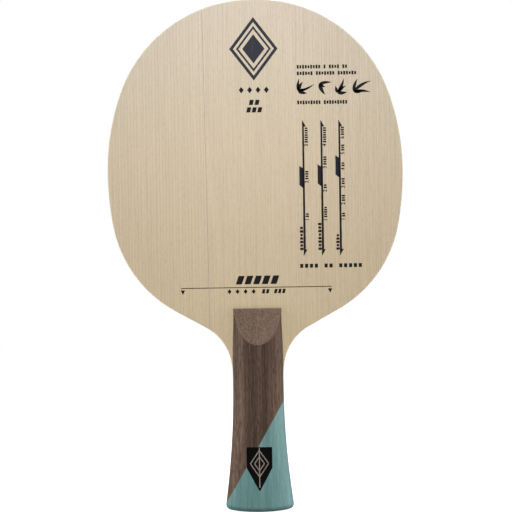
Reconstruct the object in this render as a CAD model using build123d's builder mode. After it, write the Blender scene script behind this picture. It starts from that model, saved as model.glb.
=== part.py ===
from build123d import *
from build123d.topology import SkipClean
import os
from math import asin, cos, degrees, radians, sin, sqrt

# A bare table tennis blade with a flared handle.
#
# The blade stands on its butt in the XZ plane, +Z runs from the butt to the top of
# the head and the front faces -Y. The origin is the bottom centre of the butt.
# Every piece that has a front and a back copy is made on a side plane: X across the
# blade, Y up the blade and the normal outwards. Sizes are in millimetres.

# Head and neck outline
head_width = 150.0
head_length = 157.0         # top of the head to the top end of the handle scales
widest_above_handle = 70.0  # widest point of the head above the handle scales
crown_side_radius = 118.0
crown_side_angle = 20.0     # turn of the upper side arc before the corner arc starts
crown_top_angle = 75.0      # turn after which the flatter top arc starts
lower_side_angle = 10.6     # turn of the lower side arc before the shoulder starts
shoulder_radius = 62.2
shoulder_slope = 61.0       # slope of the shoulder line, measured from the long axis
throat_radius = 25.4        # hollow curve between shoulder and handle
throat_angle = 51.8
neck_radius = 48.6          # slower curve that runs out along the handle

# Handle outline
handle_length = 103.0
waist_width = 25.6
butt_width = 35.2           # before the butt corners are rounded
neck_length = 35.3          # scales lie beside the neck curve over this length
waist_length = 1.7          # straight stretch between neck curve and flare
butt_dome_radius = 111.0
butt_round = 2.6

# Plies, from the middle of the blade outwards
core_thickness = 2.4
medium_thickness = 0.9
fibre_thickness = 0.15
face_thickness = 0.65
face_edge_round = 0.4
seam_offset = 25.0          # joint of the two face strips, left of the centre line
seam_tilt = 0.65            # lean of that joint, in degrees
rubber_gap = 10.6           # lower edge of the rubber area above the handle scales

# Handle scales
scale_butt_height = 9.1
scale_waist_height = 8.1
scale_top_height = 8.6
scale_top_inset = 0.5       # how much narrower each side is at the top end
ramp_length = 18.5
ramp_end_step = 1.4         # scale thickness left at the top end
ramp_edge_round = 0.5
top_end_round = 0.25

# Slanted joint between the upper scale and the dyed wedge
wedge_height = 34.0         # where the joint crosses the centre line
wedge_angle = 30.0          # slant of the joint, measured from the long axis

# Badge let into the front of the handle
badge_width = 13.0
badge_top = 32.9
badge_shoulder = 22.4       # lower end of its straight sides
badge_tip = 10.4
badge_depth = 0.6
badge_round = 0.4

flare_steps = 6             # lofted sections along the flare of the handle
loft_overrun = 2.0          # the loft starts this far below the butt, which the dome cuts

half_core = core_thickness / 2
medium_outside = half_core + medium_thickness
fibre_outside = medium_outside + fibre_thickness
half_blade = fibre_outside + face_thickness
half_head = head_width / 2
half_waist = waist_width / 2
half_butt = butt_width / 2
blade_length = handle_length + head_length
widest_height = handle_length + widest_above_handle
neck_height = handle_length - neck_length
flare_start = neck_height - waist_length
butt_corner_height = butt_dome_radius - sqrt(butt_dome_radius**2 - half_butt**2)
flare_height = flare_start - butt_corner_height
flare_width = half_butt - half_waist
flare_radius = (flare_height**2 + flare_width**2) / (2 * flare_width)

up = Vector(0, 0, 1)
sides = {
    "front": Plane(origin=(0, 0, 0), x_dir=(1, 0, 0), z_dir=(0, -1, 0)),
    "back": Plane(origin=(0, 0, 0), x_dir=(-1, 0, 0), z_dir=(0, 1, 0)),
}


def solve_pair(a, b, c, d, e, f):
    """Returns x and y where a x + b y = c and d x + e y = f."""
    determinant = a * e - b * d
    return (c * e - b * f) / determinant, (a * f - c * d) / determinant


def crown_arcs():
    """Radii of the corner arc and the top arc, which follow the side arc in tangents."""
    side = radians(crown_side_angle)
    top = radians(crown_top_angle)
    return solve_pair(
        cos(side) - cos(top), cos(top),
        half_head - crown_side_radius * (1 - cos(side)),
        sin(top) - sin(side), 1 - sin(top),
        blade_length - widest_height - crown_side_radius * sin(side),
    )


def lower_side():
    """Radius of the lower side arc and length of the straight shoulder line.

    The chain of tangent arcs below the widest point ends beside the handle,
    where the blade is as wide as the waist and its edge is parallel to the axis.
    """
    side = radians(lower_side_angle)
    slope = radians(shoulder_slope)
    throat_end = slope - radians(throat_angle)
    across = shoulder_radius * (cos(side) - cos(slope))
    across += throat_radius * (cos(throat_end) - cos(slope))
    across += neck_radius * (1 - cos(throat_end))
    along = shoulder_radius * (sin(slope) - sin(side))
    along += throat_radius * (sin(slope) - sin(throat_end))
    along += neck_radius * sin(throat_end)
    return solve_pair(
        1 - cos(side), sin(slope), half_head - half_waist - across,
        sin(side), cos(slope), widest_height - neck_height - along,
    )


def half_width(height):
    """Half the width of the handle scales at a height above the butt."""
    if height >= flare_start:
        run = (height - flare_start) / (handle_length - flare_start)
        return half_waist - scale_top_inset * run**2
    return half_waist + flare_radius - sqrt(flare_radius**2 - (flare_start - height)**2)


def scale_height(height):
    """Height of a handle scale above its ply at a height above the butt."""
    if height >= flare_start:
        run = (height - flare_start) / (handle_length - flare_start)
        return scale_waist_height + (scale_top_height - scale_waist_height) * run**2
    run = (flare_start - height) / flare_start
    return scale_waist_height + (scale_butt_height - scale_waist_height) * run**2


# Outline shared by all plies: right half from the crown to the butt, then mirrored.
crown_corner_radius, crown_top_radius = crown_arcs()
lower_side_radius, shoulder_line = lower_side()
with BuildSketch() as blade_outline:
    with BuildLine() as edge:
        upper_side = JernArc(
            (half_head, widest_height), (0, 1), crown_side_radius, crown_side_angle
        )
        corner = JernArc(
            upper_side @ 1, upper_side % 1, crown_corner_radius,
            crown_top_angle - crown_side_angle,
        )
        JernArc(corner @ 1, corner % 1, crown_top_radius, 90 - crown_top_angle)
        side = JernArc(
            (half_head, widest_height), (0, -1), lower_side_radius, -lower_side_angle
        )
        shoulder = JernArc(
            side @ 1, side % 1, shoulder_radius, lower_side_angle - shoulder_slope
        )
        slope = Line(shoulder @ 1, shoulder @ 1 + (shoulder % 1) * shoulder_line)
        throat = JernArc(slope @ 1, slope % 1, throat_radius, throat_angle)
        neck = JernArc(
            throat @ 1, throat % 1, neck_radius, shoulder_slope - throat_angle
        )
        waist = Line(neck @ 1, (half_waist, flare_start))
        flare = JernArc(
            waist @ 1, (0, -1), flare_radius, degrees(asin(flare_height / flare_radius))
        )
        RadiusArc(flare @ 1, (0, 0), -butt_dome_radius)
        mirror(about=Plane.YZ)
    make_face()
    butt_corners = blade_outline.vertices().group_by(Axis.Y)[1]
    fillet(butt_corners, radius=butt_round)


def save(part, label):
    """Labels a finished piece and writes its STEP file."""
    part.label = label
    export_step(part, f"parts/{label}.step")


def save_sheet_ply(label, plane, inside, outside):
    """Makes a ply that runs through blade and handle in one sheet."""
    with BuildPart() as ply:
        with BuildSketch(plane.offset(inside)):
            add(blade_outline.sketch)
        extrude(amount=outside - inside)
    save(ply.part, label)


def face_ply(plane):
    """Face ply of one side, whose outer edge is rounded all round the head.

    The rounding ends where the neck curve meets the handle scale, so that the scale
    is bedded on a sharp-edged ply.
    """
    head_end = Plane.XY.offset(neck_height)
    with BuildPart() as head:
        with BuildSketch(plane.offset(fibre_outside)):
            add(blade_outline.sketch)
        extrude(amount=face_thickness)
        split(bisect_by=head_end, keep=Keep.TOP)
        outer_face = head.faces().sort_by(Axis((0, 0, 0), plane.z_dir))[-1]
        fillet(outer_face.edges().sort_by(Axis.Z)[1:], radius=face_edge_round)
    with BuildPart() as ply:
        with BuildSketch(plane.offset(fibre_outside)):
            add(blade_outline.sketch)
        extrude(amount=face_thickness)
        split(bisect_by=head_end, keep=Keep.BOTTOM)
        add(head.part)
    return ply.part


def save_face_strips(side_name, plane):
    """Divides a face ply at its glued seam into a narrow and a wide strip.

    Rubber is glued on above the rubber edge, so that area is a face of its own.
    """
    tilt = radians(seam_tilt)
    seam_point = plane.x_dir * -seam_offset + up * widest_height
    seam = Plane(origin=seam_point, z_dir=plane.x_dir * cos(tilt) + up * sin(tilt))
    rubber_edge = Plane.XY.offset(handle_length + rubber_gap)
    whole = face_ply(plane)
    for strip_name, keep in (("left", Keep.BOTTOM), ("right", Keep.TOP)):
        strip = split(whole, bisect_by=seam, keep=keep)
        rubber_area = split(strip, bisect_by=rubber_edge, keep=Keep.TOP)
        bare_area = split(strip, bisect_by=rubber_edge, keep=Keep.BOTTOM)
        with SkipClean(), BuildPart() as face:
            add(rubber_area)
            add(bare_area)
        save(face.part, f"face_ply_{side_name}_{strip_name}")


def scale_form(plane, depth=0.0):
    """Handle scale before it is divided, with its outer surface sunk by a depth.

    Sections across the handle are half ellipses that stand on the face ply. The butt
    follows the dome of the blade, and a flat ramp thins the top end.
    """
    outwards = Axis((0, 0, 0), plane.z_dir)
    ramp_start = handle_length - ramp_length
    ramp_height = scale_height(ramp_start) - depth
    ramp = Plane(
        origin=plane.z_dir * (half_blade + ramp_height) + up * ramp_start,
        x_dir=plane.x_dir,
        z_dir=plane.z_dir * ramp_length + up * (ramp_height - ramp_end_step),
    )
    flare_sections = [flare_start * step / flare_steps for step in range(1, flare_steps + 1)]
    with BuildPart() as form:
        for height in (-loft_overrun, *flare_sections, ramp_start, handle_length):
            section = Plane(origin=(0, 0, height), x_dir=plane.x_dir, z_dir=-up)
            across = half_width(height)
            outside = scale_height(height) - depth
            with BuildSketch(section):
                with BuildLine():
                    EllipticalCenterArc((0, half_blade), across, outside, arc_size=180)
                    Line((-across, half_blade), (across, half_blade))
                make_face()
        loft()
        with BuildSketch(plane):
            with Locations((0, butt_dome_radius)):
                Circle(butt_dome_radius)
        extrude(amount=handle_length, mode=Mode.INTERSECT)
        butt_edge = form.edges().group_by(Axis.Z)[0].sort_by(outwards)[-1]
        fillet(butt_edge, radius=butt_round)
        split(bisect_by=ramp, keep=Keep.BOTTOM)
        ramp_face = form.faces().filter_by(GeomType.PLANE).sort_by(outwards)[-1]
        ramp_outline = ramp_face.edges().sort_by(Axis.Z)
        fillet(ramp_outline[0], radius=ramp_edge_round)
        top_face = form.faces().sort_by(Axis.Z)[-1]
        fillet(top_face.edges().sort_by(outwards)[-1], radius=top_end_round)
    return form.part


def wedge_joint(plane):
    """Slanted joint plane of one side. Its normal points to the dyed wedge."""
    slant = radians(wedge_angle)
    return Plane(origin=up * wedge_height, z_dir=plane.x_dir * cos(slant) - up * sin(slant))


os.makedirs("parts", exist_ok=True)

# Plies that run through blade and handle in one sheet
save_sheet_ply("core_ply", sides["front"], -half_core, half_core)
for side_name, side in sides.items():
    save_sheet_ply(f"medium_ply_{side_name}", side, half_core, medium_outside)
    save_sheet_ply(f"fibre_ply_{side_name}", side, medium_outside, fibre_outside)
    save_face_strips(side_name, side)

scale_forms = {side_name: scale_form(side) for side_name, side in sides.items()}

# Badge: a shield-shaped plate that lies flush in the front of the handle
with BuildPart() as handle_badge:
    with BuildSketch(sides["front"]):
        with BuildLine():
            half_badge = badge_width / 2
            Polyline(
                (-half_badge, badge_top),
                (-half_badge, badge_shoulder),
                (0, badge_tip),
                (half_badge, badge_shoulder),
                (half_badge, badge_top),
                close=True,
            )
        make_face()
    extrude(amount=half_blade + scale_butt_height)
    fillet(handle_badge.edges().filter_by(Axis.Y), radius=badge_round)
    add(scale_forms["front"], mode=Mode.INTERSECT)
    add(scale_form(sides["front"], badge_depth), mode=Mode.SUBTRACT)
save(handle_badge.part, "handle_badge")

# Each handle scale is an upper piece and a wedge that meet at the slanted joint
for side_name, side in sides.items():
    for piece_name, keep in (("scale", Keep.BOTTOM), ("wedge", Keep.TOP)):
        with BuildPart() as piece:
            add(scale_forms[side_name])
            split(bisect_by=wedge_joint(side), keep=keep)
            if side_name == "front":
                add(handle_badge.part, mode=Mode.SUBTRACT)
        save(piece.part, f"handle_{piece_name}_{side_name}")
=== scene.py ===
from math import cos, pi, radians, sin

import bmesh
import bpy
from mathutils import Matrix, Vector
from mathutils.bvhtree import BVHTree


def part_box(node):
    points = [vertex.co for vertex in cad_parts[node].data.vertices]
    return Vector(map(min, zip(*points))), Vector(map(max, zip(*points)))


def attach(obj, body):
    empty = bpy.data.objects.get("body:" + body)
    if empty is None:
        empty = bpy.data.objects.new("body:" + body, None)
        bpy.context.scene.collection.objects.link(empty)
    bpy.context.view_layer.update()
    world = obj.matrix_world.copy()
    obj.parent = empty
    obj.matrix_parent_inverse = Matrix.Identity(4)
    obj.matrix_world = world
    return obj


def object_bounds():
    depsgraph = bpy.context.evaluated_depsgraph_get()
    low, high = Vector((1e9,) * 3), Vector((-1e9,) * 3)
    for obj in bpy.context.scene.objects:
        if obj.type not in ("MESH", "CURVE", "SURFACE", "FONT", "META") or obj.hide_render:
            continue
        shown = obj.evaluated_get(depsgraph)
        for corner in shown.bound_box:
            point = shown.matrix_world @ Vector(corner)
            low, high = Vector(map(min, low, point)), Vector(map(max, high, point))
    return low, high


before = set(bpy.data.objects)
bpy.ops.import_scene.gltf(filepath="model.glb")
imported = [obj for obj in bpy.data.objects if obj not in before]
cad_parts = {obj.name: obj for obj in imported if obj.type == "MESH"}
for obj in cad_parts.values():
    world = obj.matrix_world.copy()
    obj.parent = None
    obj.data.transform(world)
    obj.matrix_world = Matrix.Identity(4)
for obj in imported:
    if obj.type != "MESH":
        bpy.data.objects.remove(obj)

# A bare table tennis blade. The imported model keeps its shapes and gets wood, fibre and
# enamel. Glue lines, prints on the front face and raised lines on the badge are added.
# Sizes are in millimetres until a point is made, and MM turns them into metres.

MM = 0.001
WHITE = (1.0, 1.0, 1.0, 1.0)
BLACK = (0.0, 0.0, 0.0, 1.0)
cad_low, cad_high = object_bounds()
face_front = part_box("face_ply_front_right")[0].y
scale_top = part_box("handle_scale_front")[1].z


# ---------------------------------------------------------------- node trees

class Finish:
    """A procedural material. Patterns follow the object's own place, in metres."""

    def __init__(self, name, roughness=0.5):
        self.material = bpy.data.materials.new(name)
        self.material.use_nodes = True
        self.tree = self.material.node_tree
        self.tree.nodes.clear()
        self.shader = self.node("ShaderNodeBsdfPrincipled")
        output = self.node("ShaderNodeOutputMaterial")
        self.link(self.shader.outputs["BSDF"], output.inputs["Surface"])
        coordinates = self.node("ShaderNodeTexCoord")
        self.place = coordinates.outputs["Object"]
        self.facing = coordinates.outputs["Normal"]
        self.shader.inputs["Roughness"].default_value = roughness

    def node(self, kind, **settings):
        made = self.tree.nodes.new(kind)
        for name, value in settings.items():
            setattr(made, name, value)
        return made

    def link(self, source, target):
        self.tree.links.new(source, target)

    def feed(self, socket, value):
        """Gives a socket a number, a colour or another node's result."""
        if isinstance(value, bpy.types.NodeSocket):
            self.link(value, socket)
        else:
            socket.default_value = value

    def axis(self, vector, letter):
        """One coordinate of a place or a direction."""
        parts = self.node("ShaderNodeSeparateXYZ")
        self.link(vector, parts.inputs["Vector"])
        return parts.outputs[letter]

    def stretched_place(self, scale, shift):
        """The place multiplied by a scale along X, Y and Z, then shifted."""
        mapping = self.node("ShaderNodeMapping")
        self.link(self.place, mapping.inputs["Vector"])
        mapping.inputs["Scale"].default_value = scale
        mapping.inputs["Location"].default_value = (shift, shift, shift)
        return mapping.outputs["Vector"]

    def noise(self, per_metre, detail=3.0, roughness=0.55, distortion=0.0, shift=0.0):
        """Noise from 0 to 1 with so many features in a metre along X, Y and Z."""
        noise = self.node("ShaderNodeTexNoise", noise_dimensions="3D")
        self.link(self.stretched_place(per_metre, shift), noise.inputs["Vector"])
        noise.inputs["Scale"].default_value = 1.0
        noise.inputs["Detail"].default_value = detail
        noise.inputs["Roughness"].default_value = roughness
        noise.inputs["Distortion"].default_value = distortion
        return noise.outputs["Fac"]

    def rings(self, width, wander, shift):
        """Growth rings from 0 to 1 across X, so many metres wide, that wander a little."""
        across = pi / 10 / width     # the wave texture repeats every pi / 10
        scale = (across, across * 0.2, across * 0.03)
        wave = self.node("ShaderNodeTexWave", bands_direction="X")
        self.link(self.stretched_place(scale, shift), wave.inputs["Vector"])
        wave.inputs["Scale"].default_value = 1.0
        wave.inputs["Distortion"].default_value = wander
        wave.inputs["Detail"].default_value = 3.0
        wave.inputs["Detail Scale"].default_value = 2.2
        return wave.outputs["Fac"]

    def ramp(self, value, *stops):
        """A colour ramp: each stop is a position and a colour or a grey."""
        ramp = self.node("ShaderNodeValToRGB")
        elements = ramp.color_ramp.elements
        while len(elements) < len(stops):
            elements.new(0.5)
        for element, (position, colour) in zip(elements, stops):
            element.position = position
            grey = isinstance(colour, (int, float))
            element.color = (colour,) * 3 + (1.0,) if grey else (*colour, 1.0)
        self.link(value, ramp.inputs["Fac"])
        return ramp.outputs["Color"]

    def mix(self, base, over, factor, blend="MIX"):
        """One colour over another, by a factor from 0 to 1."""
        mix = self.node("ShaderNodeMix", data_type="RGBA", blend_type=blend)
        self.feed(mix.inputs["Factor"], factor)
        self.feed(mix.inputs["A"], base)
        self.feed(mix.inputs["B"], over)
        return mix.outputs["Result"]

    def tint(self, base, by, factor=1.0):
        """Multiplies a colour by another colour or a grey."""
        return self.mix(base, by, factor, "MULTIPLY")

    def span(self, value, to_low, to_high, low=0.0, high=1.0):
        """Stretches a value from low..high to another range and stops at its ends."""
        span = self.node("ShaderNodeMapRange")
        self.link(value, span.inputs["Value"])
        span.inputs["From Min"].default_value = low
        span.inputs["From Max"].default_value = high
        span.inputs["To Min"].default_value = to_low
        span.inputs["To Max"].default_value = to_high
        return span.outputs["Result"]

    def edge_wear_and_highlight(self, radius):
        """From 0 on flat stretches to 1 on edges, found by rounding them in the shader."""
        rounded = self.node("ShaderNodeBevel", samples=6)
        rounded.inputs["Radius"].default_value = radius
        geometry = self.node("ShaderNodeNewGeometry")
        along = self.node("ShaderNodeVectorMath", operation="DOT_PRODUCT")
        self.link(rounded.outputs["Normal"], along.inputs[0])
        self.link(geometry.outputs["Normal"], along.inputs[1])
        return self.span(along.outputs["Value"], 1.0, 0.0, low=0.965, high=0.998)

    def bump(self, height, depth, strength=1.0):
        """Surface relief of a depth in metres, on top of any relief given before."""
        bump = self.node("ShaderNodeBump")
        bump.inputs["Strength"].default_value = strength
        bump.inputs["Distance"].default_value = depth
        self.link(height, bump.inputs["Height"])
        normal = self.shader.inputs["Normal"]
        if normal.links:
            self.link(normal.links[0].from_socket, bump.inputs["Normal"])
        self.link(bump.outputs["Normal"], normal)


def pale_wood(name, late_share, ring_width, wander, shift):
    """Straight-grained cypress: close rings along the blade over long fine fibres."""
    early = (0.642, 0.530, 0.385, 1.0)    # pale and darker wood of a growth ring
    late = (0.470, 0.370, 0.248, 1.0)
    wood = Finish(name)
    ring = wood.rings(ring_width, wander, shift)
    fibre = wood.noise((1150, 500, 21), detail=4, roughness=0.7, shift=shift)
    streak = wood.noise((820, 300, 55), detail=2, shift=shift + 5)
    fleck = wood.noise((1500, 1500, 420), detail=2, shift=shift)
    colour = wood.mix(early, late, wood.ramp(ring, (0.35, 0.0), (0.95, late_share)))
    colour = wood.tint(colour, wood.ramp(fibre, (0.3, 0.92), (0.7, 1.06)), 0.85)
    colour = wood.mix(colour, late, wood.ramp(streak, (0.62, 0.0), (0.78, 0.30)))
    colour = wood.mix(colour, late, wood.ramp(fleck, (0.50, 0.0), (0.80, 0.46)))
    # painted light: the sheet is lighter and cooler at the top of the head, under the lamp and
    # its sheen, and darker and warmer at the neck; it is also darker towards the sides
    painted_light_rise = wood.span(wood.axis(wood.place, "Z"), 0.0, 1.0, low=0.09, high=0.26)
    across = wood.span(wood.axis(wood.place, "X"), 0.0, 1.0, low=-0.075, high=0.075)
    colour = wood.tint(colour, wood.ramp(
        painted_light_rise, (0.0, (0.902, 0.874, 0.773)), (0.25, (0.916, 0.905, 0.858)),
        (0.55, (0.975, 0.985, 0.985)), (1.0, (0.98, 1.03, 1.13)),
    ))
    colour = wood.tint(
        colour, wood.ramp(across, (0.0, 0.92), (0.35, 1.0), (0.6, 1.0), (1.0, 0.88)))
    # the rounded rim is painted paler: partly edge wear, partly a painted highlight
    worn = wood.ramp(wood.edge_wear_and_highlight(0.5 * MM), (0.1, 0.0), (0.9, 0.75))
    colour = wood.mix(colour, (0.760, 0.710, 0.630, 1.0), worn)
    wood.link(colour, wood.shader.inputs["Base Color"])
    wood.link(wood.span(fibre, 0.46, 0.66), wood.shader.inputs["Roughness"])
    wood.shader.inputs["Specular IOR Level"].default_value = 0.35
    wood.bump(ring, 0.02 * MM, 0.5)
    wood.bump(fibre, 0.02 * MM, 0.6)
    return wood.material


def walnut(name):
    """Dark open-pored wood, speckled where it is cut across the grain, and painted paler where
    it faces up, as if lit from above.
    """
    wood = Finish(name)
    figure = wood.noise((300, 300, 4), detail=6, roughness=0.68, distortion=0.15)
    streak = wood.noise((1250, 1250, 20), detail=3, roughness=0.65)
    pore = wood.noise((2100, 2100, 230), detail=1, roughness=0.4)
    speck = wood.noise((2300, 2300, 330), detail=2, shift=9.0)
    shine = wood.noise((900, 900, 60), detail=2, shift=4.0)
    # which way the surface faces, and how high it lies on the handle
    facing_up = wood.axis(wood.facing, "Z")
    # cut grain faces up; there it is also painted paler, as if lit from above
    cut_grain_and_top_light = wood.span(facing_up, 0.0, 1.0, low=0.2, high=0.4)
    end_face = wood.span(facing_up, 0.0, 1.0, low=0.6, high=0.8)
    sideways = wood.node("ShaderNodeMath", operation="ABSOLUTE")
    wood.link(wood.axis(wood.facing, "X"), sideways.inputs[0])
    side_sheen = wood.span(sideways.outputs["Value"], 0.0, 1.0, low=0.15, high=0.55)
    upper = wood.span(wood.axis(wood.place, "Z"), 0.0, 1.0, low=0.060, high=0.075)
    # wood along the grain, with a painted sheen: lighter where it faces the sides, and more so
    # lower down the handle
    colour = wood.ramp(
        figure, (0.30, (0.032, 0.0175, 0.0118)), (0.5, (0.064, 0.037, 0.025)),
        (0.70, (0.100, 0.063, 0.045)),
    )
    colour = wood.tint(colour, wood.ramp(streak, (0.3, 0.66), (0.7, 1.30)), 0.85)
    colour = wood.tint(colour, wood.ramp(side_sheen, (0.0, 1.0), (1.0, (1.36, 1.40, 1.35))))
    colour = wood.tint(
        colour, wood.mix(wood.ramp(side_sheen, (0.0, 1.0), (1.0, 1.25)), WHITE, upper))
    colour = wood.tint(colour, wood.ramp(speck, (0.32, 0.78), (0.68, 1.26)))
    # wood across the grain, painted paler where it faces up as if lit from above, and its pores
    pale = wood.ramp(
        figure, (0.30, (0.128, 0.082, 0.055)), (0.70, (0.178, 0.117, 0.081)),
    )
    pale = wood.tint(pale, wood.ramp(speck, (0.30, 0.66), (0.70, 1.42)))
    colour = wood.mix(colour, pale, cut_grain_and_top_light)
    pores = wood.mix(
        wood.ramp(pore, (0.58, 0.0), (0.67, 0.65)), wood.ramp(pore, (0.60, 0.0), (0.72, 0.35)),
        cut_grain_and_top_light,
    )
    colour = wood.mix(colour, (0.020, 0.012, 0.009, 1.0), pores)
    # edges near the top end are painted paler: partly wear, partly a painted highlight along
    # the cut edge
    worn = wood.ramp(wood.edge_wear_and_highlight(0.55 * MM), (0.05, 0.0), (0.7, 0.9))
    worn = wood.mix(wood.mix(BLACK, worn, upper), BLACK, end_face)
    colour = wood.mix(colour, (0.350, 0.270, 0.230, 1.0), worn)
    colour = wood.tint(colour, (0.45, 0.45, 0.45, 1.0), end_face)
    wood.link(colour, wood.shader.inputs["Base Color"])
    wood.link(wood.span(shine, 0.52, 0.72), wood.shader.inputs["Roughness"])
    wood.shader.inputs["Specular IOR Level"].default_value = 0.22
    wood.bump(wood.ramp(pore, (0.55, 1.0), (0.67, 0.0)), 0.05 * MM, 0.7)
    wood.bump(streak, 0.02 * MM, 0.5)
    return wood.material


def dyed_wood(name):
    """Fine-grained wood dyed right through, with the grain still showing."""
    wood = Finish(name)
    figure = wood.noise((330, 330, 6), detail=4, roughness=0.6)
    fibre = wood.noise((1500, 1500, 30), detail=4, roughness=0.7)
    pore = wood.noise((2300, 2300, 170), detail=1)
    colour = wood.ramp(
        figure, (0.28, (0.097, 0.211, 0.206)), (0.55, (0.121, 0.254, 0.248)),
        (0.75, (0.151, 0.300, 0.293)),
    )
    colour = wood.tint(colour, wood.ramp(fibre, (0.3, 0.74), (0.7, 1.20)), 0.85)
    # painted light: surfaces that face +X are lighter and those that face -X darker
    side = wood.span(wood.axis(wood.facing, "X"), 0.0, 1.0, low=-0.5, high=0.5)
    colour = wood.tint(colour, wood.ramp(
        side, (0.0, (0.84, 0.88, 0.89)), (0.5, (0.99, 0.985, 0.985)),
        (1.0, (1.14, 1.06, 1.07)),
    ))
    pores = wood.ramp(pore, (0.60, 0.0), (0.71, 0.5))
    colour = wood.mix(colour, (0.070, 0.140, 0.135, 1.0), pores)
    # edges near the butt are painted paler: partly wear, partly a painted highlight
    butt = wood.span(wood.axis(wood.place, "Z"), 1.0, 0.0, low=0.004, high=0.010)
    worn = wood.ramp(wood.edge_wear_and_highlight(0.6 * MM), (0.1, 0.0), (0.9, 0.5))
    colour = wood.mix(colour, (0.330, 0.430, 0.410, 1.0), wood.mix(BLACK, worn, butt))
    wood.link(colour, wood.shader.inputs["Base Color"])
    wood.link(wood.span(fibre, 0.45, 0.62), wood.shader.inputs["Roughness"])
    wood.shader.inputs["Specular IOR Level"].default_value = 0.4
    wood.bump(fibre, 0.02 * MM, 0.6)
    return wood.material


def inner_ply(name, light, dark, per_metre):
    """Edge of a ply inside the blade, with its grain along the least busy axis."""
    wood = Finish(name, roughness=0.7)
    grain = wood.noise(per_metre, detail=5, roughness=0.7)
    pore = wood.noise([2.2 * count for count in per_metre], detail=2, shift=7.0)
    colour = wood.mix(light, dark, wood.ramp(grain, (0.3, 0.0), (0.7, 1.0)))
    colour = wood.mix(colour, dark, wood.ramp(pore, (0.6, 0.0), (0.75, 0.6)))
    wood.link(colour, wood.shader.inputs["Base Color"])
    wood.bump(grain, 0.04 * MM, 0.6)
    return wood.material


def fibre_edge(name):
    """Cut edge of a woven fibre sheet: dark resin with pale yarn ends."""
    sheet = Finish(name, roughness=0.45)
    yarn = sheet.noise((700, 700, 700), detail=2, roughness=0.6)
    colour = sheet.ramp(yarn, (0.42, (0.018, 0.020, 0.022)), (0.62, (0.110, 0.115, 0.120)))
    sheet.link(colour, sheet.shader.inputs["Base Color"])
    sheet.bump(yarn, 0.02 * MM, 0.5)
    return sheet.material


def ink(name, colour):
    """Screen-printed ink that lets a little of the grain break through."""
    print_ink = Finish(name)
    grain = print_ink.noise((1500, 400, 40), detail=3, roughness=0.6)
    speck = print_ink.noise((2600, 2600, 2600), detail=2)
    worn = print_ink.ramp(grain, (0.60, 0.0), (0.85, 0.22))
    tone = print_ink.mix((*colour, 1.0), (0.20, 0.16, 0.12, 1.0), worn)
    specks = print_ink.ramp(speck, (0.68, 0.0), (0.8, 0.25))
    tone = print_ink.mix(tone, (0.10, 0.08, 0.06, 1.0), specks)
    print_ink.link(tone, print_ink.shader.inputs["Base Color"])
    print_ink.link(print_ink.span(grain, 0.5, 0.7), print_ink.shader.inputs["Roughness"])
    print_ink.shader.inputs["Specular IOR Level"].default_value = 0.2
    print_ink.bump(grain, 0.01 * MM, 0.5)
    return print_ink.material


def enamel(name):
    """Black enamel of the badge, nearly smooth, with faint wipe marks."""
    coat = Finish(name, roughness=0.25)
    cloud = coat.noise((500, 500, 120), detail=3)
    fine = coat.noise((4200, 4200, 4200), detail=2)
    colour = coat.ramp(cloud, (0.3, (0.0005, 0.0004, 0.0004)), (0.8, (0.0024, 0.0018, 0.0017)))
    coat.link(colour, coat.shader.inputs["Base Color"])
    coat.link(coat.span(cloud, 0.10, 0.24), coat.shader.inputs["Roughness"])
    coat.shader.inputs["Specular IOR Level"].default_value = 0.14
    coat.bump(fine, 0.004 * MM, 0.4)
    return coat.material


def bronze(name):
    """Dull bronze of the badge lines, rubbed brighter in places."""
    metal = Finish(name, roughness=0.4)
    metal.shader.inputs["Metallic"].default_value = 0.85
    rub = metal.noise((900, 900, 900), detail=3)
    colour = metal.ramp(rub, (0.3, (0.30, 0.24, 0.20)), (0.7, (0.55, 0.47, 0.40)))
    metal.link(colour, metal.shader.inputs["Base Color"])
    metal.link(metal.span(rub, 0.50, 0.30), metal.shader.inputs["Roughness"])
    metal.bump(rub, 0.01 * MM, 0.5)
    return metal.material


# ---------------------------------------------------------------- flat shapes
# A shape is a list of (x, z) corners in millimetres. x is measured from the centre
# line and z from the top end of the handle scale.

def box_shape(x, z, width, height, slant=0.0):
    """A rectangle about its centre. Slant moves its top edge to the right."""
    w, h, s = width / 2, height / 2, slant / 2
    return [(x - w - s, z - h), (x + w - s, z - h), (x + w + s, z + h), (x - w + s, z + h)]


def lozenge(x, z, width, height):
    """A rhombus about its centre."""
    return [(x, z - height / 2), (x + width / 2, z), (x, z + height / 2), (x - width / 2, z)]


def lozenge_ring(x, z, width, height, line):
    """Four bars round a lozenge. The line is the bars' width across the lozenge."""
    outer = lozenge(x, z, width, height)
    scale = 1 - 2 * line / width
    inner = lozenge(x, z, width * scale, height * scale)
    return [
        [outer[i], outer[(i + 1) % 4], inner[(i + 1) % 4], inner[i]] for i in range(4)
    ]


def turned(shapes, x, z):
    """Turns shapes a quarter to the left about a point, so that a row reads upwards."""
    return [[(x - (b - z), z + (a - x)) for a, b in shape] for shape in shapes]


def row(x, z, pitch, groups, make):
    """Places one mark for each count in groups, with a blank place between groups."""
    shapes, step = [], 0
    for count in groups:
        for _ in range(count):
            shapes.append(make(x + pitch * (step + 0.5), z, step))
            step += 1
        step += 1
    return shapes


def boxes(width, height, slant=0.0):
    """Gives row() equal boxes."""
    return lambda x, z, i: box_shape(x, z, width, height, slant)


def lozenges(width, height):
    """Gives row() equal lozenges."""
    return lambda x, z, i: lozenge(x, z, width, height)


def tick_row(x, z, length, height, groups):
    """Upright ticks of changing height that stand in for a line of small print."""
    pitch = length / (sum(groups) + len(groups) - 1)
    tick_width = 0.70 * pitch
    shares = (1.0, 0.8, 1.0, 0.9, 0.7)
    return row(
        x, z, pitch, groups,
        lambda a, b, i: box_shape(a, b, tick_width, height * shares[i % len(shares)]),
    )


# ---------------------------------------------------------------- making pieces

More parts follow.
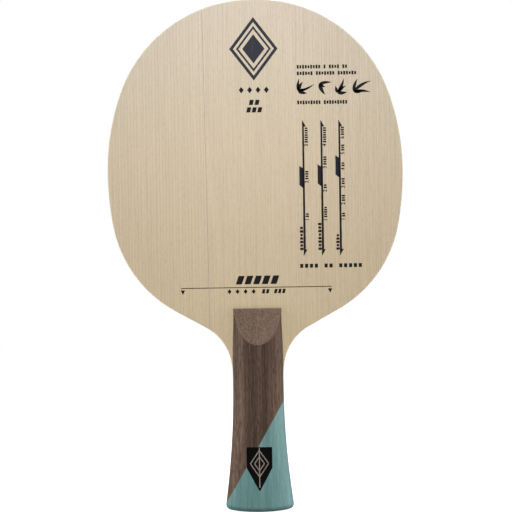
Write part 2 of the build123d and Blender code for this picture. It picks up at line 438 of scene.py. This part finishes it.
def add_piece(name, mesh, material):
    """Puts a mesh in the scene as a piece of the paddle with its finish."""
    piece = bpy.data.objects.new(name, mesh)
    bpy.context.scene.collection.objects.link(piece)
    mesh.materials.append(material)
    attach(piece, "root")
    return piece


def add_plate(bm, shape, front, thickness):
    """Adds one closed plate with that outline, its front corners placed by front()."""
    outside = [bm.verts.new(front(x, z)) for x, z in shape]
    inwards = Vector((0, thickness, 0))
    inside = [bm.verts.new(v.co + inwards) for v in outside]
    bm.faces.new(outside)
    bm.faces.new(inside[::-1])
    for i in range(len(shape)):
        j = (i + 1) % len(shape)
        bm.faces.new((outside[j], outside[i], inside[i], inside[j]))


def add_ribbon(bm, points, widths, front, thickness):
    """Adds a closed ribbon along (x, z) points, with its own width at each of them."""
    rings = []
    for i, point in enumerate(points):
        ahead = Vector(points[min(i + 1, len(points) - 1)])
        behind = Vector(points[max(i - 1, 0)])
        side = (ahead - behind).orthogonal().normalized() * (widths[i] / 2)
        left, right = front(*(Vector(point) + side)), front(*(Vector(point) - side))
        down = Vector((0, thickness, 0))
        rings.append([bm.verts.new(v) for v in (left, right, right + down, left + down)])
    for one, two in zip(rings, rings[1:]):
        for i in range(4):
            j = (i + 1) % 4
            bm.faces.new((one[i], one[j], two[j], two[i]))
    bm.faces.new(rings[0][::-1])
    bm.faces.new(rings[-1])


def finish_mesh(bm, name):
    """Turns a bmesh into a mesh whose faces all look outwards."""
    bmesh.ops.recalc_face_normals(bm, faces=bm.faces)
    mesh = bpy.data.meshes.new(name)
    bm.to_mesh(mesh)
    bm.free()
    return mesh


INK_PROUD = 0.02
INK_THICKNESS = 0.03
NUMBER_BOLDNESS = 0.02      # as a share of the number's size
WELD_DISTANCE = 0.0005


def on_face(x, z):
    """A point just proud of the front face."""
    return Vector((x * MM, face_front - INK_PROUD * MM, scale_top + z * MM))


def add_print(name, shapes, material):
    """One printed group as thin closed plates on the front face."""
    bm = bmesh.new()
    for shape in shapes:
        add_plate(bm, shape, on_face, INK_THICKNESS * MM)
    return add_piece(name, finish_mesh(bm, name), material)


def number_mesh(text, x, z, size):
    """The mesh of a printed number that reads upwards beside a scale."""
    curve = bpy.data.curves.new("number_" + text, "FONT")
    curve.body = text
    curve.size = size * MM
    curve.extrude = INK_THICKNESS * MM / 2
    curve.offset = NUMBER_BOLDNESS * size * MM
    curve.align_x = "CENTER"
    curve.align_y = "CENTER"
    curve.resolution_u = 4
    source = bpy.data.objects.new("number_source", curve)
    bpy.context.scene.collection.objects.link(source)
    bpy.context.view_layer.update()
    mesh = bpy.data.meshes.new_from_object(
        source.evaluated_get(bpy.context.evaluated_depsgraph_get()))
    bpy.data.objects.remove(source)
    bpy.data.curves.remove(curve)
    middle = on_face(x, z) + Vector((0, INK_THICKNESS * MM / 2, 0))
    upright = Matrix.Rotation(pi / 2, 4, "X")
    reads_up = Matrix.Rotation(pi / 2, 4, "Z")
    mesh.transform(Matrix.Translation(middle) @ upright @ reads_up)
    bm = bmesh.new()
    bm.from_mesh(mesh)
    bmesh.ops.remove_doubles(bm, verts=bm.verts, dist=WELD_DISTANCE * MM)
    bm.to_mesh(mesh)
    bm.free()
    return mesh


# ---------------------------------------------------------------- finishes

CORE_GRAIN = (900, 900, 14)          # features in a metre along X, Y and Z
CROSS_GRAIN = (16, 900, 900)
cypress_coarse = pale_wood("cypress_coarse", 0.26, 1.6 * MM, 2.4, 3.1)
cypress_fine = pale_wood("cypress_fine", 0.27, 1.35 * MM, 7.0, 8.7)
core_edge = inner_ply(
    "core_edge", (0.62, 0.50, 0.34, 1.0), (0.47, 0.36, 0.23, 1.0), CORE_GRAIN)
cross_ply_edge = inner_ply(
    "cross_ply_edge", (0.44, 0.31, 0.19, 1.0), (0.24, 0.16, 0.09, 1.0), CROSS_GRAIN)
fibre = fibre_edge("fibre_edge")
scale_wood = walnut("walnut")
wedge_wood = dyed_wood("dyed_wood")
finishes = {"core_ply": core_edge, "handle_badge": enamel("badge_enamel")}
for side in ("front", "back"):
    finishes[f"face_ply_{side}_left"] = cypress_coarse
    finishes[f"face_ply_{side}_right"] = cypress_fine
    finishes[f"medium_ply_{side}"] = cross_ply_edge
    finishes[f"fibre_ply_{side}"] = fibre
    finishes[f"handle_scale_{side}"] = scale_wood
    finishes[f"handle_wedge_{side}"] = wedge_wood
for node_name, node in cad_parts.items():
    node.data.materials.clear()
    node.data.materials.append(finishes[node_name])

black_ink = ink("black_ink", (0.005, 0.005, 0.006))
emblem_ink = ink("slate_ink", (0.028, 0.030, 0.042))
blue_ink = ink("blue_black_ink", (0.009, 0.009, 0.018))
seam_glue = ink("seam_glue", (0.130, 0.085, 0.050))

# ---------------------------------------------------------------- glue lines
# One shows between the two strips of each face. The joint leans, so its foot and its
# top end are where the narrow strip and the wide strip reach furthest over it.

SEAM_WIDTH, SEAM_INSET, SEAM_PROUD = 0.16, 0.7, 0.004
for side_name, outward in (("front", -1), ("back", 1)):
    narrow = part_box(f"face_ply_{side_name}_left")
    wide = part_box(f"face_ply_{side_name}_right")
    foot_x, top_x = (narrow[1].x, wide[0].x) if outward < 0 else (narrow[0].x, wide[1].x)
    face_y = narrow[0].y if outward < 0 else narrow[1].y
    foot = Vector((foot_x / MM, narrow[0].z / MM))
    top = Vector((top_x / MM, narrow[1].z / MM))
    inset = (top - foot).normalized() * SEAM_INSET
    seam_y = face_y + outward * SEAM_PROUD * MM
    seam = bmesh.new()
    add_ribbon(
        seam, [foot + inset, top - inset], [SEAM_WIDTH] * 2,
        lambda x, z: Vector((x * MM, seam_y, z * MM)), -outward * INK_THICKNESS * MM,
    )
    name = f"glue_line_{side_name}"
    add_piece(name, finish_mesh(seam, name), seam_glue)

# ---------------------------------------------------------------- prints
# A row starts at its left end. Rows of plain marks stand where the words would be.

# Ornament near the top of the head: two rings and a solid middle
EMBLEM_Z, EMBLEM_WIDTH, EMBLEM_HEIGHT = 131.8, 24.6, 32.3
OUTER_LINE, INNER_LINE = 1.9, 1.2
INNER_SHARE, SOLID_SHARE = 0.72, 0.46
emblem = lozenge_ring(0, EMBLEM_Z, EMBLEM_WIDTH, EMBLEM_HEIGHT, OUTER_LINE)
emblem += lozenge_ring(
    0, EMBLEM_Z, EMBLEM_WIDTH * INNER_SHARE, EMBLEM_HEIGHT * INNER_SHARE, INNER_LINE)
emblem.append(lozenge(0, EMBLEM_Z, EMBLEM_WIDTH * SOLID_SHARE, EMBLEM_HEIGHT * SOLID_SHARE))
add_print("print_emblem", emblem, emblem_ink)

# Small marks below it
title_box = boxes(width=2.0, height=2.6, slant=0.6)
title = row(x=-8.6, z=110.9, pitch=4.25, groups=[4], make=lozenges(width=2.5, height=3.3))
title += row(x=-2.9, z=104.6, pitch=2.9, groups=[2], make=title_box)
title += row(x=-4.2, z=100.8, pitch=2.8, groups=[3], make=title_box)
add_print("print_title_marks", title, black_ink)

# Block of small print on the right
BLOCK_X = 21.7
lines = tick_row(BLOCK_X, z=122.3, length=25.9, height=1.9, groups=[9, 1, 4, 2])
lines += tick_row(BLOCK_X, z=119.0, length=30.5, height=1.9, groups=[6, 7, 7])
lines += tick_row(BLOCK_X, z=104.2, length=25.7, height=2.0, groups=[9, 9])
add_print("print_maker_lines", lines, black_ink)

# Brush flourish inside that block
STROKE_STEPS, STROKE_END, STROKE_SWELL = 14, 0.12, 1.3


def leaf(x, z, length, width, heading, bend):
    """One brush stroke: it starts thin, swells early, and runs out to a point."""
    points, widths = [(x, z)], []
    for i in range(STROKE_STEPS):
        angle = radians(heading + bend * (i / STROKE_STEPS - 0.5))
        x += length / STROKE_STEPS * cos(angle)
        z += length / STROKE_STEPS * sin(angle)
        points.append((x, z))
    for i in range(STROKE_STEPS + 1):
        t = i / STROKE_STEPS
        swell = STROKE_SWELL * width * sin(pi * t**0.75) ** 0.8 * (1 - 0.25 * t)
        widths.append(max(STROKE_END, swell))
    return points, widths


# Four sprigs: where each starts, then the length, width, heading and bend of its leaves
sprigs = (
    (22.4, 110.0, ((9.0, 1.0, 24, 30), (5.2, 1.5, 62, -30), (4.6, 1.5, -14, 20),
                   (6.4, 1.2, 84, -24), (4.4, 1.2, 8, -26))),
    (33.2, 113.6, ((6.2, 1.3, 6, -20), (6.4, 1.6, -62, 26), (3.4, 1.4, -30, 18))),
    (42.4, 108.9, ((8.0, 1.3, 66, 24), (5.6, 1.4, 38, -30), (4.8, 1.5, 4, 24),
                   (3.6, 1.2, 104, -16))),
    (50.6, 109.4, ((10.4, 1.3, 30, -34), (6.8, 1.3, 72, -28), (5.0, 1.5, 4, 18),
                   (8.6, 1.2, -4, -30))),
)
flourish = bmesh.new()
for x, z, leaves in sprigs:
    for leaf_sizes in leaves:
        add_ribbon(flourish, *leaf(x, z, *leaf_sizes), on_face, INK_THICKNESS * MM)
add_piece(
    "print_brush_leaves", finish_mesh(flourish, "print_brush_leaves"), black_ink)

# Three scales with a pointer each
SCALE_LOW, SCALE_HIGH = 26.1, 95.3
LINE_TOP, LINE_FOOT = 0.88, 1.15      # each line is a little bolder at its foot
BARB_WIDTH, BARB_LENGTH = 2.0, 3.4
POINTER = ((-2.2, 5.6), (-0.2, 4.3), (-0.2, -5.8), (-2.2, -4.2))    # corners about its mark
LABEL_ASIDE, NAME_ASIDE = 1.6, 1.5    # labels stand right of a line, its name left of it
NUMBER_SIZE, NUMBER_ROOM = 2.6, 2.2
TICK_PITCH, TICK_HEIGHT = 1.15, 1.65
NAME_Z, NAME_PITCH, NAME_HEIGHT = 28.9, 1.75, 1.7
scale_shapes, pointer_shapes, numbers = [], [], bmesh.new()
# Each scale: x, lowest and highest mark, ticks of each label, pointer, length of its name
for x, mark_low, mark_high, tick_counts, pointer_z, name_length in (
    (24.6, 45.8, 86.5, (2, 4, 7), 66.4, 12.4),
    (33.9, 47.3, 86.5, (5, 2, 4, 7), 67.1, 14.3),
    (43.0, 45.8, 88.4, (2, 3, 3, 2, 3, 4), 71.5, 8.4),
):
    left_top, left_foot = x - LINE_TOP / 2, x - LINE_FOOT / 2
    scale_shapes.append([
        (left_foot, SCALE_LOW), (left_foot + BARB_WIDTH, SCALE_LOW + BARB_LENGTH),
        (left_foot + LINE_FOOT, SCALE_LOW + BARB_LENGTH),
        (left_top + LINE_TOP, SCALE_HIGH - BARB_LENGTH),
        (left_top + BARB_WIDTH, SCALE_HIGH - BARB_LENGTH), (left_top, SCALE_HIGH),
    ])
    pointer_shapes.append([(x + aside, pointer_z + above) for aside, above in POINTER])
    label_x, name_x = x + LABEL_ASIDE, x - NAME_ASIDE
    mark_step = (mark_high - mark_low) / (len(tick_counts) - 1)
    for mark, ticks in enumerate(tick_counts):
        length = TICK_PITCH * ticks
        z = mark_low + mark_step * mark - (NUMBER_ROOM + length) / 2
        number = number_mesh(str(mark + 1), label_x, z + NUMBER_ROOM / 2, NUMBER_SIZE)
        numbers.from_mesh(number)
        bpy.data.meshes.remove(number)
        label = tick_row(label_x + NUMBER_ROOM, z, length, TICK_HEIGHT, [ticks])
        scale_shapes += turned(label, label_x, z)
    name_ticks = [round(name_length / NAME_PITCH)]
    name_row = tick_row(name_x, NAME_Z, name_length, NAME_HEIGHT, name_ticks)
    scale_shapes += turned(name_row, name_x, NAME_Z)
add_print("print_scales", scale_shapes, black_ink)
add_print("print_pointers", pointer_shapes, blue_ink)
add_piece("print_numbers", finish_mesh(numbers, "print_numbers"), black_ink)

# Row of squares below the scales
squares = row(x=21.7, z=21.2, pitch=2.48, groups=[4, 2, 5], make=boxes(width=1.6, height=2.0))
add_print("print_square_row", squares, black_ink)

# Bold stripes above the line that the rubber is set to
stripe = boxes(width=3.1, height=4.3, slant=1.5)
stripes = row(x=-10.6, z=14.4, pitch=4.4, groups=[5], make=stripe)
add_print("print_stripes", stripes, black_ink)

# That line, with an arrowhead under each end and a small row between them
RULE_X, RULE_Z, RULE_LENGTH, RULE_LINE = -0.2, 10.6, 76.4, 0.38
ARROW_PLACES = (-37.6, 37.2)
ARROW_HALF, ARROW_GAP, ARROW_TIP = 1.15, 1.0, 3.2    # the last two are below the line
SMALL_ROW_Z = RULE_Z - 2.0
rule = [box_shape(RULE_X, RULE_Z, RULE_LENGTH, RULE_LINE)]
for x in ARROW_PLACES:
    rule.append([
        (x - ARROW_HALF, RULE_Z - ARROW_GAP), (x, RULE_Z - ARROW_TIP),
        (x + ARROW_HALF, RULE_Z - ARROW_GAP),
    ])
rule += row(x=-16.0, z=SMALL_ROW_Z, pitch=4.1, groups=[4], make=lozenges(width=2.0, height=2.6))
small_box = boxes(width=1.4, height=2.2, slant=0.5)
rule += row(x=2.4, z=SMALL_ROW_Z, pitch=2.05, groups=[2, 3], make=small_box)
add_print("print_rule", rule, black_ink)

# ---------------------------------------------------------------- badge lines
# Two nested lozenges on a centre line, raised from the badge and bent to its curve.
# Their x and z are from the middle of the badge.

LINE_PROUD, LINE_DEPTH = 0.08, 0.2
BAR_STEPS = 8
STEM_WIDTH, STEM_TOP_GAP, STEM_TIP_GAP = 0.55, 0.5, 1.6
MOTIF_Z, MOTIF_LINE = 2.7, 0.5
RAY_START = 10.0            # in front of the badge
badge_low, badge_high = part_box("handle_badge")
badge_middle = (badge_low + badge_high) / 2
badge_half = (badge_high.z - badge_low.z) / MM / 2
badge_tree = BVHTree.FromObject(
    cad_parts["handle_badge"], bpy.context.evaluated_depsgraph_get())


def on_badge(x, z):
    """A point just proud of the badge."""
    start = badge_middle + Vector((x, 0, z)) * MM
    start.y = badge_low.y - RAY_START * MM
    hit = badge_tree.ray_cast(start, Vector((0, 1, 0)))[0]
    return Vector((start.x, hit.y - LINE_PROUD * MM, start.z))


def add_bar(bm, start, end, width):
    """A raised bar that follows the badge's curve between two points."""
    a, b = Vector(start), Vector(end)
    points = [tuple(a.lerp(b, i / BAR_STEPS)) for i in range(BAR_STEPS + 1)]
    add_ribbon(bm, points, [width] * (BAR_STEPS + 1), on_badge, LINE_DEPTH * MM)


motif = bmesh.new()
stem_top, stem_tip = badge_half - STEM_TOP_GAP, STEM_TIP_GAP - badge_half
add_bar(motif, (0, stem_top), (0, stem_tip), STEM_WIDTH)
for width, height in ((9.2, 13.4), (5.0, 7.2)):
    corners = lozenge(0, MOTIF_Z, width, height)
    for i, corner in enumerate(corners):
        add_bar(motif, corner, corners[(i + 1) % 4], MOTIF_LINE)
add_piece(
    "badge_lines", finish_mesh(motif, "badge_lines"), bronze("badge_bronze"))

# ---------------------------------------------------------------- stage and light

# The floor and the world look white, and give little light of their own.

AMBIENT = 0.10
FLOOR_REACH = 3.0
FLOOR_GREY, FLOOR_SEEN = 0.42, 0.95
centre = (cad_low + cad_high) / 2


def camera_strength(tree, unseen, seen):
    """A strength for light itself and another for what the camera sees of its source."""
    path = tree.nodes.new("ShaderNodeLightPath")
    strength = tree.nodes.new("ShaderNodeMapRange")
    tree.links.new(path.outputs["Is Camera Ray"], strength.inputs["Value"])
    strength.inputs["To Min"].default_value = unseen
    strength.inputs["To Max"].default_value = seen
    return strength.outputs["Result"]


world = bpy.data.worlds.new("studio")
bpy.context.scene.world = world
world.use_nodes = True
backdrop = world.node_tree.nodes["Background"]
backdrop.inputs["Color"].default_value = WHITE
world.node_tree.links.new(
    camera_strength(world.node_tree, AMBIENT, 1.0), backdrop.inputs["Strength"])

floor_mesh = bpy.data.meshes.new("floor")
floor_mesh.from_pydata(
    [(x * FLOOR_REACH, y * FLOOR_REACH, 0) for x, y in ((-1, -1), (1, -1), (1, 1), (-1, 1))],
    [], [(0, 1, 2, 3)],
)
floor = bpy.data.objects.new("floor", floor_mesh)
bpy.context.scene.collection.objects.link(floor)
paper = bpy.data.materials.new("floor_paper")
paper.use_nodes = True
paper_shader = paper.node_tree.nodes["Principled BSDF"]
paper_shader.inputs["Base Color"].default_value = (FLOOR_GREY, FLOOR_GREY, FLOOR_GREY, 1.0)
paper_shader.inputs["Roughness"].default_value = 0.9
paper_shader.inputs["Specular IOR Level"].default_value = 0.0
paper_shader.inputs["Emission Color"].default_value = WHITE
paper_glow = camera_strength(paper.node_tree, 0.0, FLOOR_SEEN)
paper.node_tree.links.new(paper_glow, paper_shader.inputs["Emission Strength"])
floor_mesh.materials.append(paper)

# Two keys and two rims. Sizes and places are in metres and powers in watts.
SOFT_BOX = 0.5
KEY_AHEAD, KEY_HEIGHT, KEY_POWER = 0.75, 0.85, 9.9
RIM_ASIDE, RIM_HEIGHT, RIM_POWER = 0.80, 0.30, 5.0


def add_light(name, place, power):
    """A square soft box that faces the middle of the paddle."""
    lamp = bpy.data.lights.new(name, "AREA")
    lamp.shape = "SQUARE"
    lamp.size = SOFT_BOX
    lamp.energy = power
    light = bpy.data.objects.new(name, lamp)
    bpy.context.scene.collection.objects.link(light)
    light.location = Vector(place)
    light.rotation_euler = (centre - light.location).to_track_quat("-Z", "Y").to_euler()


for key_name, side in (("front", -1), ("back", 1)):
    add_light(f"key_{key_name}", (0, side * KEY_AHEAD, KEY_HEIGHT), KEY_POWER)
for rim_name, side in (("left", -1), ("right", 1)):
    add_light(f"rim_{rim_name}", (side * RIM_ASIDE, 0, RIM_HEIGHT), RIM_POWER)

# ---------------------------------------------------------------- camera

VIEW_HEIGHT = 0.2601      # height of the picture at the blade, in metres
VIEW_DISTANCE = 1.6
VIEW_X = -0.22            # how far right of the middle it looks, in mm
VIEW_DROP = 0.45          # how far below the middle it looks, in mm
VIEW_ROLL = 0.85          # degrees that the paddle leans to the left
SENSOR = 36.0
FARTHEST_SEEN = 20.0
lens = bpy.data.cameras.new("camera")
lens.sensor_width = SENSOR
lens.lens = SENSOR * VIEW_DISTANCE / VIEW_HEIGHT
lens.clip_end = FARTHEST_SEEN
camera = bpy.data.objects.new("camera", lens)
bpy.context.scene.collection.objects.link(camera)
camera.location = (VIEW_X * MM, face_front - VIEW_DISTANCE, centre.z - VIEW_DROP * MM)
camera.rotation_euler = (pi / 2, radians(VIEW_ROLL), 0.0)
bpy.context.scene.camera = camera
bpy.context.scene.view_settings.view_transform = "Standard"
